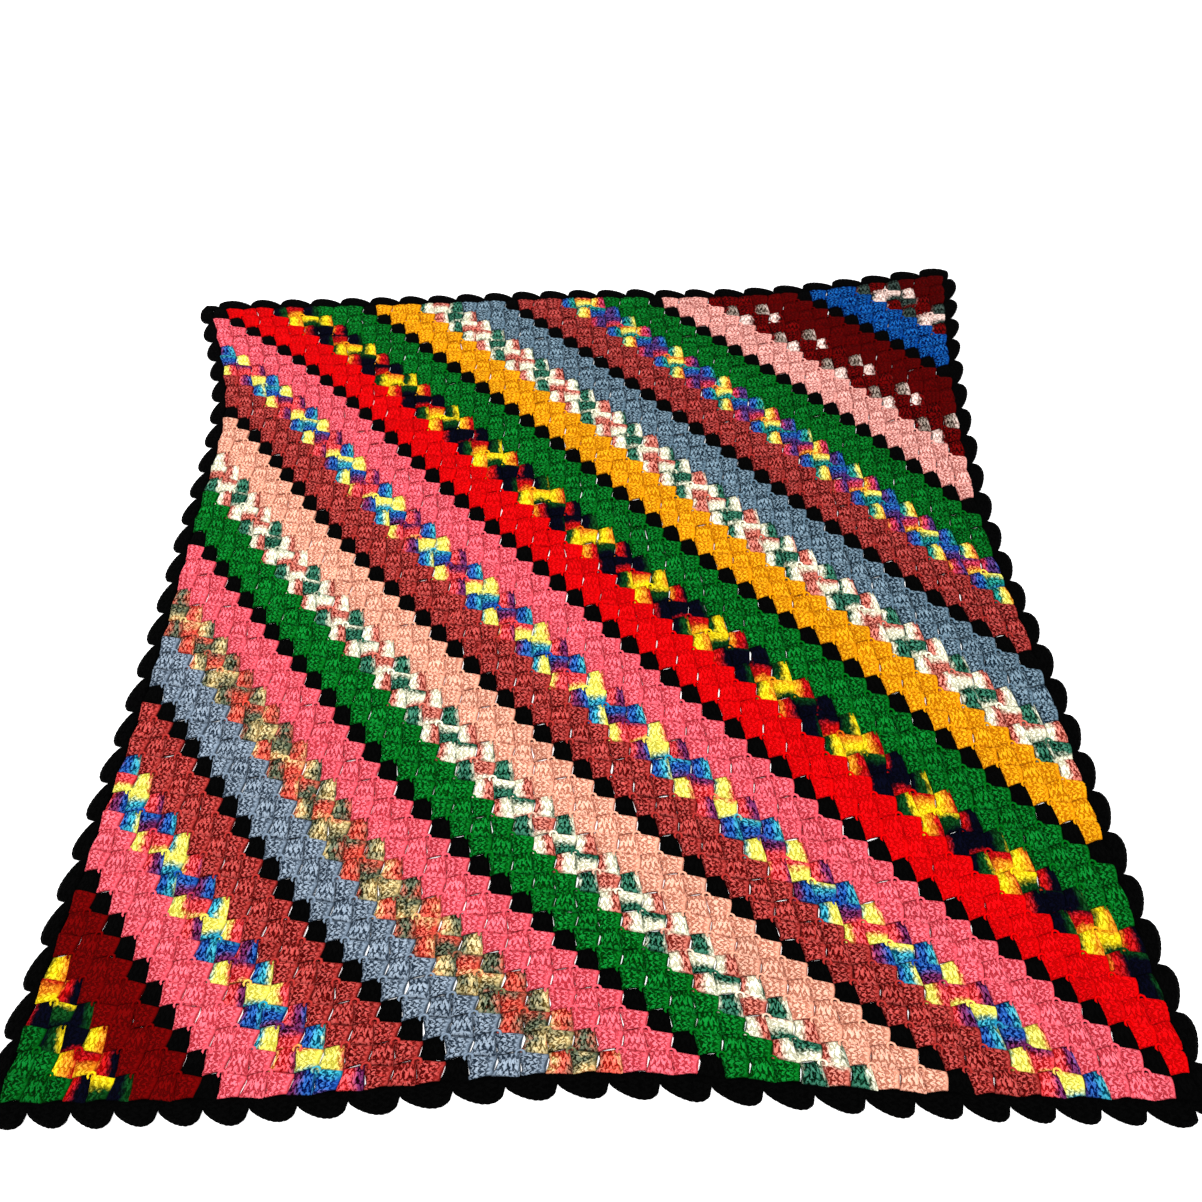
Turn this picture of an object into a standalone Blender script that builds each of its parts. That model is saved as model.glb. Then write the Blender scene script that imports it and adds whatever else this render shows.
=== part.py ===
"""A square crochet afghan worked corner to corner in small blocks, with a shell edging, lying flat, face up.

The field is one piece of crochet, and the edging is crocheted on all round it: a chain of fans, each two blocks
long, that all lean the same way. Metres, +Z up. The cloth lies on z = 0 with its centre over the origin, its near
edge towards -Y.
"""

import bmesh
import bpy
import numpy as np

OBJECT_NAME = "shell_stitch_afghan"

# Driving dimensions, in metres
BLOCK = 0.025
FIELD_THICK = 0.005
SHELL_NOTCH = 0.0095
SHELL_REACH = 0.024
SHELL_CROWN = 0.006
SHELL_EDGE_THICK = 0.004
GAP = 0.00045

# Counts
BLOCKS_A_SIDE = 50
SHELL_BLOCKS = 2
FIELD_CELLS = 100

# A shell's stations along the edge, from its steep start to its slow end, with one on a corner of the field
SHELL_STATIONS = (0.0, 0.1, 0.28, 0.5, 0.75)
# How far before a corner of the field its shell starts, in blocks
FIRST_NOTCH = 1.5
# How the shell leans: its tip comes early, and its fan is this much fuller than a plain wave
LEAN = 0.62
FULLNESS = 0.7
# Rows of faces across the edging, and the distance at which its two ends are welded
EDGING_ROWS = 2
WELD = 0.000001

# How far the cloth lies off an even square, along x and along y, in metres. There is a row for each fifth of the way
# from the near edge to the far edge
LAY_X = (
    # left, left_quarter, middle, right_quarter, right
    (-0.020, -0.030, 0.005, 0.030, 0.015),
    (0.005, -0.005, 0.010, 0.015, 0.000),
    (0.025, 0.010, 0.000, 0.000, -0.015),
    (0.030, 0.005, -0.005, -0.015, -0.035),
    (0.030, 0.000, -0.005, -0.005, -0.015),
    (-0.040, -0.015, -0.010, 0.005, 0.025),
)
LAY_Y = (
    # left, left_quarter, middle, right_quarter, right
    (0.015, 0.015, 0.030, 0.005, -0.010),
    (0.010, -0.010, -0.010, -0.030, -0.015),
    (0.005, -0.010, -0.020, -0.015, -0.010),
    (0.010, -0.015, -0.010, -0.010, -0.005),
    (0.010, -0.005, -0.005, -0.010, 0.020),
    (-0.005, -0.010, -0.010, -0.020, 0.015),
)

# Colours of the two yarns that stand for the whole: the field's stripes seen together, and the edging's black
FIELD_COLOUR = (0.36, 0.11, 0.12, 1.0)
EDGING_COLOUR = (0.008, 0.008, 0.009, 1.0)
YARN_ROUGHNESS = 0.85


def curve_weights(count, at):
    """How much each of a number of evenly spaced values counts at places from 0 to 1 on the smooth curve through
    them: a cubic whose slope at each value is half the step from the value before it to the one after it."""
    place = np.clip(at, 0.0, 1.0) * (count - 1)
    first = np.minimum(place.astype(int), count - 2)
    part = (place - first)[:, None]
    values = np.eye(count)
    padded = np.vstack((2 * values[0] - values[1], values, 2 * values[-1] - values[-2]))
    before, here, there, after = (padded[first + step] for step in range(4))
    slope = there - before
    bend = 2 * before - 5 * here + 4 * there - after
    twist = 3 * (here - there) + after - before
    return here + 0.5 * part * (slope + part * (bend + part * twist))


def laid(column, row):
    """Where a point of the cloth lies, x and y in metres, from its place in blocks from the near left corner: its
    place on an even square, shifted by the lay tables, which are read smoothly both ways."""
    along, up = column / BLOCKS_A_SIDE, row / BLOCKS_A_SIDE
    side = BLOCKS_A_SIDE * BLOCK
    by_row = curve_weights(len(LAY_X), up)
    by_column = curve_weights(len(LAY_X[0]), along)
    shift_x = np.einsum("pr,rc,pc->p", by_row, np.array(LAY_X), by_column)
    shift_y = np.einsum("pr,rc,pc->p", by_row, np.array(LAY_Y), by_column)
    return (along - 0.5) * side + shift_x, (up - 0.5) * side + shift_y


def shell_rise(within):
    """How far along its fan a shell's rim is, 0 at the notches and 1 at the tip, at 0 to 1 through the shell: a half
    wave that is pushed towards the shell's start and made fuller."""
    return np.sin(np.pi * within**LEAN) ** FULLNESS


def edging_stations():
    """The edging's stations, clockwise from the notch before the far left corner: the place along the field's edge in
    blocks, and the place within the shell."""
    shells = 4 * BLOCKS_A_SIDE // SHELL_BLOCKS
    within = np.tile(SHELL_STATIONS, shells)
    shell = np.repeat(np.arange(shells), len(SHELL_STATIONS))
    return (shell + within) * SHELL_BLOCKS - FIRST_NOTCH, within


def edge_frame(place):
    """The point of the field's edge at a place along it, and the way out from there, both in blocks. The way out
    turns evenly through a right angle from half a shell before each corner to half a shell past it."""
    corners = np.array([(0, 1), (1, 1), (1, 0), (0, 0)]) * BLOCKS_A_SIDE
    runs = np.array([(1, 0), (0, -1), (-1, 0), (0, 1)])
    side = np.floor(place / BLOCKS_A_SIDE).astype(int) % 4
    point = corners[side] + runs[side] * (place % BLOCKS_A_SIDE)[:, None]
    nearest = np.round(place / BLOCKS_A_SIDE)
    past_corner = (place - nearest * BLOCKS_A_SIDE) / (SHELL_BLOCKS / 2)
    quarter_turns = nearest - 0.5 + np.clip(past_corner, -1, 1) / 2
    heading = np.pi / 2 * (1 - quarter_turns)
    return point, np.stack([np.cos(heading), np.sin(heading)], axis=1)


def edging_point(station, reach_share):
    """x, y and height of points of the edging, at a station round it and a share of the way from the field to the
    rim. Each shell is crowned along its middle, and lower at its notches and its rim."""
    place, within = edging_stations()
    station = station % len(place)
    point, out = edge_frame(place[station])
    rise = shell_rise(within[station])
    rim = SHELL_NOTCH + (SHELL_REACH - SHELL_NOTCH) * rise
    distance = (GAP + (rim - GAP) * reach_share) / BLOCK
    x, y = laid(*(point + out * distance[:, None]).T)
    crown = 4 * reach_share * (1 - reach_share) * rise
    plain = FIELD_THICK + (SHELL_EDGE_THICK - FIELD_THICK) * reach_share
    return x, y, plain + (SHELL_CROWN - plain) * crown


def cloth_centre():
    """The middle of the box around the edging's rim."""
    x, y, _ = edging_point(np.arange(len(edging_stations()[0])), 1.0)
    return (x.min() + x.max()) / 2, (y.min() + y.max()) / 2


def grid_sheet(columns, rows, shape):
    """A grid of faces whose vertices are moved to shape(column, row), with the cloth's centre over the origin."""
    mesh = bmesh.new()
    bmesh.ops.create_grid(mesh, x_segments=columns, y_segments=rows, size=0.5)
    even = np.array([vert.co for vert in mesh.verts])[:, :2] + 0.5
    x, y, height = shape(np.rint(even[:, 0] * columns).astype(int), np.rint(even[:, 1] * rows).astype(int))
    centre_x, centre_y = cloth_centre()
    for vert, place in zip(mesh.verts, np.stack([x - centre_x, y - centre_y, height], axis=1)):
        vert.co = place
    return mesh


def fill_down(mesh):
    """Makes a sheet one closed solid that stands flat on z = 0: its faces are copied down, and walls close its rims."""
    copied = bmesh.ops.extrude_face_region(mesh, geom=mesh.faces[:])["geom"]
    for part in copied:
        if isinstance(part, bmesh.types.BMVert):
            part.co.z = 0.0
    bmesh.ops.recalc_face_normals(mesh, faces=mesh.faces[:])


def yarn(name, colour):
    """A plain yarn material."""
    material = bpy.data.materials.new(name)
    material.use_nodes = True
    surface = material.node_tree.nodes["Principled BSDF"]
    surface.inputs["Base Color"].default_value = colour
    surface.inputs["Roughness"].default_value = YARN_ROUGHNESS
    surface.inputs["Metallic"].default_value = 0.0
    material.diffuse_color = colour
    return material


def add_piece(name, mesh, material, collection):
    """Puts a finished bmesh into the scene as one named object."""
    data = bpy.data.meshes.new(name)
    mesh.to_mesh(data)
    mesh.free()
    data.materials.append(material)
    piece = bpy.data.objects.new(name, data)
    collection.objects.link(piece)


def make_field(collection):
    """The field: a grid of even cells laid out as the cloth lies, as thick as the crochet's two layers."""

    def shape(column, row):
        cell = BLOCKS_A_SIDE / FIELD_CELLS
        return *laid(column * cell, row * cell), np.full(len(column), FIELD_THICK)

    mesh = grid_sheet(FIELD_CELLS, FIELD_CELLS, shape)
    fill_down(mesh)
    add_piece("field", mesh, yarn("striped yarn", FIELD_COLOUR), collection)


def make_edging(collection):
    """The shell edging: a strip of faces laid round the field from its edge to the shells' rim, its ends welded."""
    stations = len(edging_stations()[0])
    mesh = grid_sheet(stations, EDGING_ROWS, lambda station, row: edging_point(station, row / EDGING_ROWS))
    bmesh.ops.remove_doubles(mesh, verts=mesh.verts[:], dist=WELD)
    fill_down(mesh)
    add_piece("shell_edging", mesh, yarn("black yarn", EDGING_COLOUR), collection)


def main():
    for old in list(bpy.data.objects):
        bpy.data.objects.remove(old)
    collection = bpy.data.collections.new(OBJECT_NAME)
    bpy.context.scene.collection.children.link(collection)
    make_field(collection)
    make_edging(collection)


main()
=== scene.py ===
"""A corner-to-corner crochet afghan with a shell edging, laid flat, and its stage.

The field is fifty by fifty blocks. A block is a chain and three trebles side by side, upright in every
second diagonal row and lying in the rows between. The yarn changes every three diagonal rows, and a
black row parts every nine. Places in the field are in blocks from its near left corner, lengths are in
metres, and the rest are shares unless a comment says otherwise.
"""

from dataclasses import dataclass

import bpy
import numpy as np
from bpy.props import FloatProperty, FloatVectorProperty, IntProperty, PointerProperty
from mathutils import Matrix, Vector


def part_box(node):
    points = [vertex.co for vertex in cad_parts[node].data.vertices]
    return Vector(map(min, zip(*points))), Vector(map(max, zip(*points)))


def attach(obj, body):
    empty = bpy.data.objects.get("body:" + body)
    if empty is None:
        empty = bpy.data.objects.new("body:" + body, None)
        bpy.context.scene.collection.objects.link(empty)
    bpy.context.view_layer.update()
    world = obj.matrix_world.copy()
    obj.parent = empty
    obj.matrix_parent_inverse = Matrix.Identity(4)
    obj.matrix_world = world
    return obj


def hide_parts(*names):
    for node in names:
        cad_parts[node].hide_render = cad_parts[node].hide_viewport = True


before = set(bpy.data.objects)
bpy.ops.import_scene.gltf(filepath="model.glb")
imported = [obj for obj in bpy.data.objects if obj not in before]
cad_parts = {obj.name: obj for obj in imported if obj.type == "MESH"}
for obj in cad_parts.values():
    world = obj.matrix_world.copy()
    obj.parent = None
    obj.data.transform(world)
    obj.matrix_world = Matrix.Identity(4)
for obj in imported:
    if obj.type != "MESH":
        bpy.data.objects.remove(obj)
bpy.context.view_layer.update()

bl_info = {
    "name": "Shell stitch afghan",
    "version": (1, 0, 0),
    "blender": (4, 5, 0),
    "location": "3D View > Sidebar > Afghan",
    "description": "Makes a corner-to-corner crochet afghan with a shell edging around its packed frame",
    "category": "Object",
}

FIELD_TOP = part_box("field")[1].z
EDGING_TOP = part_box("shell_edging")[1].z
BODY = "root"

# How the cloth is laid out, as the solids have it: blocks along a side and under a shell, how many blocks
# before the far left corner the first notch lies, and the powers that lean and fill a shell's rim
BLOCKS_A_SIDE = 50
SHELL_BLOCKS = 2
FIRST_NOTCH = 1.5
LEAN = 0.62
FULLNESS = 0.7

# Where through a shell the solids have stations
SOLID_STATIONS = (0.0, 0.1, 0.28, 0.5, 0.75)

# How far the cloth lies off an even square, along x and along y. There is a row for each fifth of the way
# from the near edge to the far edge
LAY_X = (
    # left, left_quarter, middle, right_quarter, right
    (-0.020, -0.030, 0.005, 0.030, 0.015),
    (0.005, -0.005, 0.010, 0.015, 0.000),
    (0.025, 0.010, 0.000, 0.000, -0.015),
    (0.030, 0.005, -0.005, -0.015, -0.035),
    (0.030, 0.000, -0.005, -0.005, -0.015),
    (-0.040, -0.015, -0.010, 0.005, 0.025),
)
LAY_Y = (
    # left, left_quarter, middle, right_quarter, right
    (0.015, 0.015, 0.030, 0.005, -0.010),
    (0.010, -0.010, -0.010, -0.030, -0.015),
    (0.005, -0.010, -0.020, -0.015, -0.010),
    (0.010, -0.015, -0.010, -0.010, -0.005),
    (0.010, -0.005, -0.005, -0.010, 0.020),
    (-0.005, -0.010, -0.010, -0.020, 0.015),
)

# The grid of a block: places across its posts over the face and back under it, and rings along the posts
POSTS = 4
ACROSS_FACE = (0.0, 0.06, 0.16, 0.32, 0.5, 0.68, 0.84, 0.94, 1.0)
ACROSS_BACK = (0.7, 0.3)
RINGS = (0.0, 0.07, 0.3, 0.7, 0.93, 1.0)

# The form of a block: the powers that square its face and back across the posts, and its face at their
# ends, how high its chain counts on the way from its edge to its face in the rise that sets the painted
# seam shade, and how smooth a lying block's last part is
FACE_POWER = 6
BACK_POWER = 4
END_POWER = 6
CHAIN_RISE = 0.5
SMOOTHEST = 0.8
SMOOTH_FROM = 0.65
SMOOTH_OVER = 0.3

# How uneven blocks are: in height as a share, in place in blocks, and in turn in radians
UNEVEN_HEIGHT = 0.05
UNEVEN_PLACE = 0.012
UNEVEN_TURN = 0.03

# Slits between blocks, the upright ones and the lying ones. A slit's width is a share of the widest slit's,
# drawn at random around a mean, and anything under the least is no slit. The cloth is loose around a place
# on the near edge, and snug in three corners, within about the square root of the number given
SLIT_MEANS = (0.24, 0.04)
LYING_MEAN_BY_BLACK = 0.12
WIDER_WHERE_LOOSE = (0.32, 0.18)
NARROWER_WHERE_SNUG = (0.25, 0.15)
SLIT_SPREAD = 0.14
LEAST_SLIT = 0.16
LYING_WIDTH = 0.6
LOOSE_COLUMN = 22
LOOSE_COLUMNS, LOOSE_ROWS = 11, 13
SNUG_NEAR_LEFT, SNUG_RIGHT = 100, 200

# A loop of chain: its grid, where its circle is centred from its block's corner, how far past half a turn
# it goes at each end in radians, how deep its middle lies under the field's face in radii, how far its ends
# dive, and the part of its circle over which it stays level
LOOP_RINGS = 7
LOOP_SIDES = 4
LOOP_CENTRE = (0.05, -0.02)
PAST_HALF_TURN = 0.8
LOOP_SINK = 0.3
DIVE = 0.0022
LEVEL_PART = 0.1

# The grid of the edging: posts in a shell, stations a post, steps out over the face and back under it, and
# samples of a rim to find its mean reach
SHELL_POSTS = 8
STATIONS_A_POST = 3
FACE_STEPS = 5
UNDER_STEPS = 3

# The form of the edging: how far it is tucked under the field, the heights of its waist and of its notches,
# how far a shell's crown lies under its solid's, the power that squares it from foot to rim, how unevenly
# shells reach out, where through a shell its posts' feet have their middle and how close they stand there,
# the power that rounds a post, the depth between posts, and how far the rim swells at each
TUCK = 0.0025
EDGING_WAIST = 0.002
NOTCH_HEIGHT = 0.004
CROWN_SINK = 0.001
CROWN_POWER = 4
UNEVEN_REACH = 0.03
FAN_FOOT = 0.42
FOOT_SHARE = 0.62
POST_POWER = 0.6
BETWEEN_POSTS = 0.45
RIM_SWELL = 0.02

# The bake map: each roll's cell has a margin round its square, which holds the walls and, in a strip above
# them, the two ends as flat rounds
CELL_MARGIN = 0.04
SQUARE_SHARE = 0.92
WALL_SHARE = 0.92
END_MIDDLES = (0.25, 0.75)
END_HEIGHT = 0.97
END_WIDTH, END_DEPTH = 0.2, 0.015

# Stripes, from the first corner worked: first and last diagonal row, yarn, and how light it is there
STRIPES = (
    # first, last, yarn, shade
    (0, 2, "green", 0.83),
    (3, 5, "primary", 1.0),
    (6, 8, "maroon", 1.15),
    (9, 9, "black", 1.0),
    (10, 12, "pink", 1.0),
    (13, 15, "carnival", 1.0),
    (16, 18, "rosewood", 1.14),
    (19, 19, "black", 1.0),
    (20, 22, "blue_grey", 1.17),
    (23, 25, "desert", 1.0),
    (26, 28, "pink", 1.0),
    (29, 29, "black", 1.0),
    (30, 32, "green", 1.15),
    (33, 35, "rose_mint", 1.0),
    (36, 38, "peach", 1.0),
    (39, 39, "black", 1.0),
    (40, 42, "rosewood", 1.08),
    (43, 45, "carnival", 1.0),
    (46, 48, "pink", 1.0),
    (49, 49, "black", 1.0),
    (50, 52, "red", 1.0),
    (53, 55, "primary", 1.0),
    (56, 58, "green", 1.05),
    (59, 59, "black", 1.0),
    (60, 62, "gold", 1.0),
    (63, 65, "rose_mint", 1.0),
    (66, 68, "slate", 1.0),
    (69, 69, "black", 1.0),
    (70, 72, "rosewood", 0.92),
    (73, 75, "tropic", 1.0),
    (76, 78, "green", 0.95),
    (79, 79, "black", 1.0),
    (80, 82, "salmon", 1.0),
    (83, 85, "garnet_mist", 1.0),
    (86, 88, "maroon", 0.74),
    (89, 89, "black", 1.0),
    (90, 92, "royal_blue", 1.0),
    (93, 95, "garnet_green", 1.0),
    (96, 98, "maroon", 0.57),
)

# Every tenth diagonal row is black
BLACK_EVERY = 10

# The dyes of each variegated yarn in the order in which an upright row takes them, and their shares of a
# repeat
YARN_REPEATS = {
    "primary": (("yellow", 0.16), ("orange", 0.12), ("ruby", 0.18), ("navy", 0.37), ("bottle", 0.17)),
    "carnival": (("lemon", 0.25), ("coral", 0.24), ("plum", 0.17), ("blue", 0.2), ("teal", 0.14)),
    "rose_mint": (("mint", 0.3), ("cream", 0.2), ("rose", 0.3), ("cream", 0.2)),
    "tropic": (
        ("lemon", 0.13), ("orange", 0.09), ("cerise", 0.17), ("violet", 0.22), ("blue", 0.19), ("jade", 0.2),
    ),
    "garnet_mist": (("maroon", 0.54), ("grey", 0.22), ("blush", 0.24)),
    "garnet_green": (("blush", 0.25), ("maroon", 0.36), ("pine", 0.39)),
    "desert": (
        ("rust", 0.125), ("tan", 0.06), ("olive", 0.12), ("tan", 0.06), ("olive", 0.135),
        ("rust", 0.11), ("olive", 0.1), ("tan", 0.06), ("rust", 0.1), ("olive", 0.13),
    ),
}

# Where the first dye of its yarn is centred along each variegated row: its first and last place, counted in
# blocks from the left edge, and how many repeats of the yarn lie between them. A row with none is that dye
# throughout
ROW_CHART = (
    # row, first, last, repeats
    (3, -1.1, 2.1, 1),
    (4, 0.9, 4.2, 1),
    (5, 0.4, 3.4, 1),
    (13, 2.2, 11.7, 3),
    (14, 1.0, 13.5, 4),
    (15, 1.5, 14.4, 4),
    (23, 1.6, 17.5, 2),
    (24, 1.7, 17.7, 2),
    (25, 1.5, 25.5, 3),
    (33, 3.4, 33.5, 10),
    (34, 2.5, 33.1, 10),
    (35, 2.6, 35.3, 11),
    (43, 3.3, 42.4, 12),
    (44, 2.6, 44.4, 13),
    (45, 1.5, 43.4, 14),
    (53, 5.4, 47.4, 13),
    (54, 6.3, 48.4, 13),
    (55, 7.5, 48.4, 13),
    (63, 16.8, 48.4, 11),
    (64, 16.5, 49.3, 11),
    (65, 16.6, 48.4, 11),
    (73, 25.4, 46.6, 7),
    (74, 25.6, 46.2, 7),
    (75, 26.1, 48.4, 8),
    (83, 37.5, 46.5, 3),
    (84, 0.0, 0.0, 0),
    (85, 36.4, 48.3, 4),
    (93, 45.6, 48.6, 1),
    (94, 46.3, 49.3, 1),
    (95, 44.6, 47.6, 1),
)

# How strong the painted highlight on a yarn's stitch tops and the painted shade in its pits and seams are,
# and for yarns that differ
PAINTED_HIGHLIGHT, PAINTED_SHADE = 0.6, 1.0
PAINTED_LIGHT_BY_YARN = {
    "black": (0.05, 1.0),
    "maroon": (0.2, 0.5),
    "red": (0.25, 0.4),
    "pink": (0.5, 0.8),
    "peach": (0.5, 0.8),
    "salmon": (0.5, 0.85),
    "gold": (0.45, 0.65),
    "green": (0.45, 0.9),
    "primary": (0.5, 0.65),
}

# The share of light that the lightest yarn reflects
LIGHTEST_YARN = 0.75

# How far each change of dye is blurred, in repeats, and the noises that let it wander: how fine each is, in
# waves a metre, and how far it goes, in repeats
DYE_BLUR = 0.05
DYE_WANDER = ((75.0, 0.16), (280.0, 0.1))

# The relief of the yarn: how fine are the noises that shift it across, along and between strands, and its
# fuzz, in waves a metre, how far they shift it in posts, and how high the fuzz is
SHIFT_SCALES = (240.0, 360.0, 190.0)
FUZZ_SCALE = 900.0
SHIFT = 1.2
FUZZ = 0.2

# Its strands: how many a post is long in a lying and in an upright block, how far one zigzags over half a
# post, and how fast its plies turn along and across it
LYING_STRANDS, UPRIGHT_STRANDS = 0.9, 0.5
ZIGZAG = 1.3
PLY_ALONG, PLY_ACROSS = 2.9, 0.9

# Where it is deep and high: between which values pits, crests and the sides of posts come up, how much each
# part adds, how far noise shifts strands and depth, how much less upright and smooth blocks take, and the
# ribs a post of smooth parts
PIT_STEP = (0.15, 0.8)
CREST_STEP = (0.55, 1.1)
SIDE_STEP = (0.8, 1.0)
SIDE_DEPTH = 0.6
FURROW_DEPTH = 0.15
LESS_UPRIGHT = 0.13
LESS_SMOOTH = 0.85
PHASE_SHIFT, DEPTH_SHIFT = 0.8, 0.6
STRAND_HEIGHT, PIT_FALL = 0.6, 0.4
RIBS = 2.0
RIB_HEIGHT, RIB_BASE = 0.2, 0.35

# How a dye shows with painted light: the powers that make it paler for a painted highlight and darker for
# painted shade, and the share of light left in the darkest painted shade, the rise between which painted
# shade gathers towards seams and how far, the brightnesses between which painted highlights come up and
# painted shade turns faint, how much fainter it turns, and how far blocks differ
HIGHLIGHT_POWER, SHADE_POWER = 0.6, 2.1
DARKEST_SHADE = 0.45
RISE_STEP = (0.3, 0.95)
SEAM_SHADE = 0.8
HIGHLIGHT_STEP = (0.0, 0.06)
FAINT_STEP = (0.35, 0.65)
FAINTER = 0.35
TONE_SPREAD = 0.05

# The surface of the yarn
BUMP_STRENGTH = 0.9
BUMP_DEPTH = 0.0016
YARN_ROUGHNESS = 0.88
YARN_SHINE = 0.02

# The stage: the floor's reach each way, the lamps, and the camera as the photograph was taken
FLOOR_REACH = 4.0
FLOOR_ROUGHNESS = 0.9
LAMPS = (
    # name, side, place
    ("key", 1.6, (-1.3, 1.0, 2.4)),
    ("fill", 1.4, (0.4, -0.9, 2.4)),
)
EYE, TARGET = (0.0458, -0.5998, 1.045), (0.0308, -0.0088, 0.0)
ROLL = -0.054
LENS, SENSOR = 25.16, 36.0

SEED = 4


def linear(red, green, blue):
    """The share of light that a yarn reflects, from its colour of 0 to 255 under the stage's lamps."""
    shown = np.array((red, green, blue)) / 255
    low, high = shown / 12.92, ((shown + 0.055) / 1.055) ** 2.4
    return tuple(float(value) * LIGHTEST_YARN for value in np.where(shown <= 0.04045, low, high))


def length(name, description, default):
    """A length in metres that a user may change."""
    return FloatProperty(
        name=name, description=description, default=default, min=0.0, unit="LENGTH", precision=4,
    )


def share(name, description, default):
    """A share that a user may change."""
    return FloatProperty(
        name=name, description=description, default=default, min=0.0, max=1.0, subtype="FACTOR",
    )


def dye(name, red, green, blue):
    """The colour of a yarn or of one dye of a variegated yarn."""
    return FloatVectorProperty(
        name=name, description=f"Colour of the {name.lower()} yarn", subtype="COLOR", min=0.0, max=1.0,
        default=linear(red, green, blue),
    )


class AfghanSizes(bpy.types.PropertyGroup):
    """Sizes of the crochet."""

    block: length("Block", "Side of one block of the field", 0.025)
    thickness: length("Thickness", "Height of the field's face", FIELD_TOP)
    shell_notch: length("Notch", "How far the edging reaches out at its notches", 0.0095)
    shell_reach: length("Reach", "How far the edging reaches out at its tips", 0.024)
    shell_height: length("Shell height", "Height of a shell at its crown", EDGING_TOP - CROWN_SINK)
    clearance: length("Clearance", "How far the back lies above the floor", 0.0003)
    waist: length("Waist", "Height at which a block's face and back meet", 0.0014)
    overlap: share("Overlap", "How far blocks reach over their outlines into each other, in blocks", 0.045)
    end_fall: share("End fall", "How far a block's face falls at the ends of its posts", 0.75)
    slit: share("Slit", "Width of the widest slits between blocks, in blocks", 0.16)
    slit_length: share("Slit length", "Length of the slits, in blocks", 0.55)
    slit_end: share("Slit end", "Length over which a slit opens at each end, in blocks", 0.12)
    lean: share("Lean", "How far the corners of blocks lean in turn to each side, in blocks", 0.065)
    bulge: share("Bulge", "How far the sides of blocks bulge, in blocks", 0.045)
    loop: length("Loop", "Thickness of the yarn of the corner loops", 0.003)
    loop_reach: share("Loop reach", "Radius of the corner loops, in blocks", 0.17)


class AfghanDyes(bpy.types.PropertyGroup):
    """Colours of the yarns."""

    black: dye("Black", 2, 2, 2)
    green: dye("Green", 1, 100, 20)
    maroon: dye("Maroon", 100, 1, 1)
    pink: dye("Pink", 249, 93, 109)
    rosewood: dye("Rosewood", 168, 46, 42)
    blue_grey: dye("Blue grey", 115, 131, 148)
    slate: dye("Slate", 98, 125, 143)
    peach: dye("Peach", 250, 176, 147)
    salmon: dye("Salmon", 245, 168, 157)
    red: dye("Red", 219, 1, 3)
    gold: dye("Gold", 243, 158, 6)
    royal_blue: dye("Royal blue", 4, 70, 157)
    yellow: dye("Yellow", 252, 220, 16)
    orange: dye("Orange", 252, 154, 22)
    ruby: dye("Ruby", 190, 5, 6)
    navy: dye("Navy", 3, 4, 20)
    bottle: dye("Bottle green", 5, 60, 16)
    lemon: dye("Lemon", 255, 244, 98)
    coral: dye("Coral", 250, 70, 76)
    plum: dye("Plum", 108, 30, 84)
    blue: dye("Blue", 22, 76, 168)
    teal: dye("Teal", 42, 164, 190)
    jade: dye("Jade", 18, 138, 124)
    mint: dye("Mint", 32, 98, 72)
    cream: dye("Cream", 254, 250, 220)
    rose: dye("Rose", 214, 110, 92)
    cerise: dye("Cerise", 208, 44, 74)
    violet: dye("Violet", 76, 42, 112)
    rust: dye("Rust", 234, 78, 60)
    tan: dye("Tan", 246, 214, 142)
    olive: dye("Olive", 82, 92, 68)
    grey: dye("Grey", 136, 118, 105)
    blush: dye("Blush", 252, 218, 206)
    pine: dye("Pine", 44, 60, 54)


class AfghanStage(bpy.types.PropertyGroup):
    """The floor and lights, and the seed of what is uneven."""

    floor: FloatVectorProperty(
        name="Floor", description="Colour of the floor", subtype="COLOR", min=0.0, max=1.0,
        default=(0.92, 0.92, 0.92),
    )
    sky: FloatProperty(
        name="Sky", description="Strength of the light from all round", default=0.72, min=0.0,
    )
    key: FloatProperty(
        name="Key", description="Power of the main lamp", default=75.0, min=0.0, unit="POWER",
    )
    fill: FloatProperty(
        name="Fill", description="Power of the lamp overhead", default=70.0, min=0.0, unit="POWER",
    )
    seed: IntProperty(
        name="Seed", description="Number that the small unevenness follows", default=SEED, min=0,
    )


# Where points of the cloth lie

def curve_weights(count, at):
    """How much each of a number of evenly spaced values counts at places from 0 to 1 on the smooth curve
    through them: a cubic whose slope at each value is half the step from the one before to the one after."""
    place = np.clip(at, 0.0, 1.0) * (count - 1)
    first = np.minimum(place.astype(int), count - 2)
    part = (place - first)[:, None]
    values = np.eye(count)
    padded = np.vstack((2 * values[0] - values[1], values, 2 * values[-1] - values[-2]))
    before, here, there, after = (padded[first + step] for step in range(4))
    slope = there - before
    bend = 2 * before - 5 * here + 4 * there - after
    twist = 3 * (here - there) + after - before
    return here + 0.5 * part * (slope + part * (bend + part * twist))


def laid(column, row, block):
    """Where points of the cloth lie, x and y, from their places in the field: their places on an even
    square, shifted by the lay tables, which are read smoothly both ways."""
    shape = np.shape(column)
    along, up = np.ravel(column) / BLOCKS_A_SIDE, np.ravel(row) / BLOCKS_A_SIDE
    side = BLOCKS_A_SIDE * block
    by_row = curve_weights(len(LAY_X), up)
    by_column = curve_weights(len(LAY_X[0]), along)
    shift_x = np.sum((by_row @ np.array(LAY_X)) * by_column, axis=1)
    shift_y = np.sum((by_row @ np.array(LAY_Y)) * by_column, axis=1)
    return ((along - 0.5) * side + shift_x).reshape(shape), ((up - 0.5) * side + shift_y).reshape(shape)


def shell_rise(within):
    """How far out a shell's rim is, 0 at the notches and 1 at the tip, at 0 to 1 through the shell: a half
    wave that is pushed towards the shell's start and made fuller."""
    return np.sin(np.pi * within**LEAN) ** FULLNESS


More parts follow.
